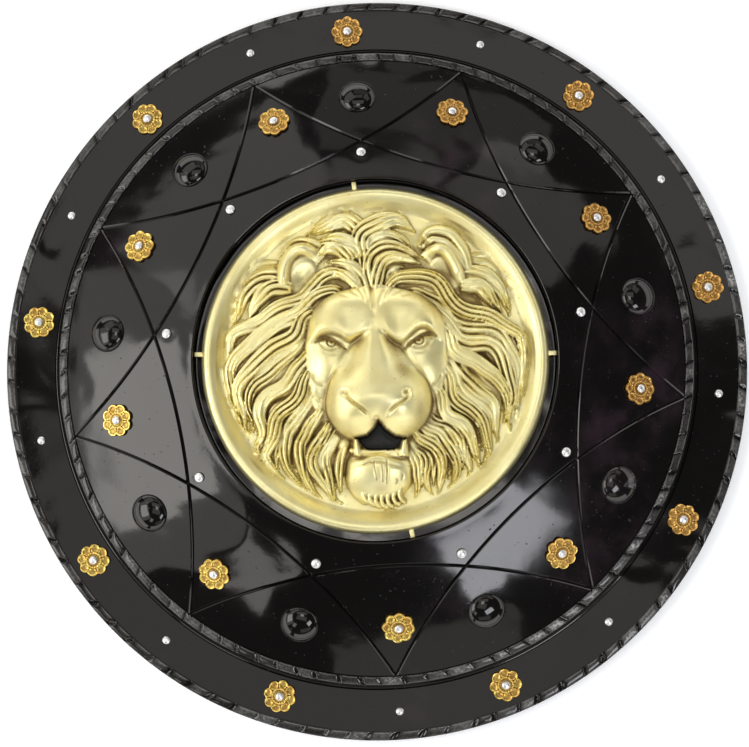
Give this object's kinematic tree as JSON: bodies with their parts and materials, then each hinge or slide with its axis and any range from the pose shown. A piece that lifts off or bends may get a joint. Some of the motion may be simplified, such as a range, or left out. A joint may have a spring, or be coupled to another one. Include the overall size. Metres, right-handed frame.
{
  "type": "round shield",
  "caption": "Round dished shield in black lacquer with a brass lion's head medallion, gilt rosettes and silver nails, lying face up on its rim.",
  "frame": {"origin": "centre of the plane that the rim's flat back lies on", "axes": "+Z out of the shield's face, +Y towards the top of the lion's head, +X towards the viewer's right"},
  "size_m": [0.61, 0.61, 0.0933],
  "materials": {
    "lacquer": "turned wood under gloss black lacquer",
    "brass": "pale satin cast brass",
    "gilt": "worn gilt",
    "silver": "polished nail head",
    "leather": "dark brown harness leather"
  },
  "bodies": {
    "root": {"shield_body": "lacquer", "lion_medallion": "brass", "outer_rosette_1": "gilt", "outer_rosette_2": "gilt", "outer_rosette_3": "gilt", "outer_rosette_4": "gilt", "outer_rosette_5": "gilt", "outer_rosette_6": "gilt", "outer_rosette_7": "gilt", "outer_rosette_8": "gilt", "outer_rosette_9": "gilt", "inner_rosette_1": "gilt", "inner_rosette_2": "gilt", "inner_rosette_3": "gilt", "inner_rosette_4": "gilt", "inner_rosette_5": "gilt", "inner_rosette_6": "gilt", "inner_rosette_7": "gilt", "inner_rosette_8": "gilt", "inner_rosette_9": "gilt", "outer_rosette_nail_1": "silver", "outer_rosette_nail_2": "silver", "outer_rosette_nail_3": "silver", "outer_rosette_nail_4": "silver", "outer_rosette_nail_5": "silver", "outer_rosette_nail_6": "silver", "outer_rosette_nail_7": "silver", "outer_rosette_nail_8": "silver", "outer_rosette_nail_9": "silver", "inner_rosette_nail_1": "silver", "inner_rosette_nail_2": "silver", "inner_rosette_nail_3": "silver", "inner_rosette_nail_4": "silver", "inner_rosette_nail_5": "silver", "inner_rosette_nail_6": "silver", "inner_rosette_nail_7": "silver", "inner_rosette_nail_8": "silver", "inner_rosette_nail_9": "silver", "rim_nail_1": "silver", "rim_nail_2": "silver", "rim_nail_3": "silver", "rim_nail_4": "silver", "rim_nail_5": "silver", "rim_nail_6": "silver", "rim_nail_7": "silver", "rim_nail_8": "silver", "rim_nail_9": "silver", "collar_nail_1": "silver", "collar_nail_2": "silver", "collar_nail_3": "silver", "collar_nail_4": "silver", "collar_nail_5": "silver", "collar_nail_6": "silver", "collar_nail_7": "silver", "collar_nail_8": "silver", "collar_nail_9": "silver", "arm_strap": "leather", "hand_grip": "leather"}
  },
  "joints": []
}
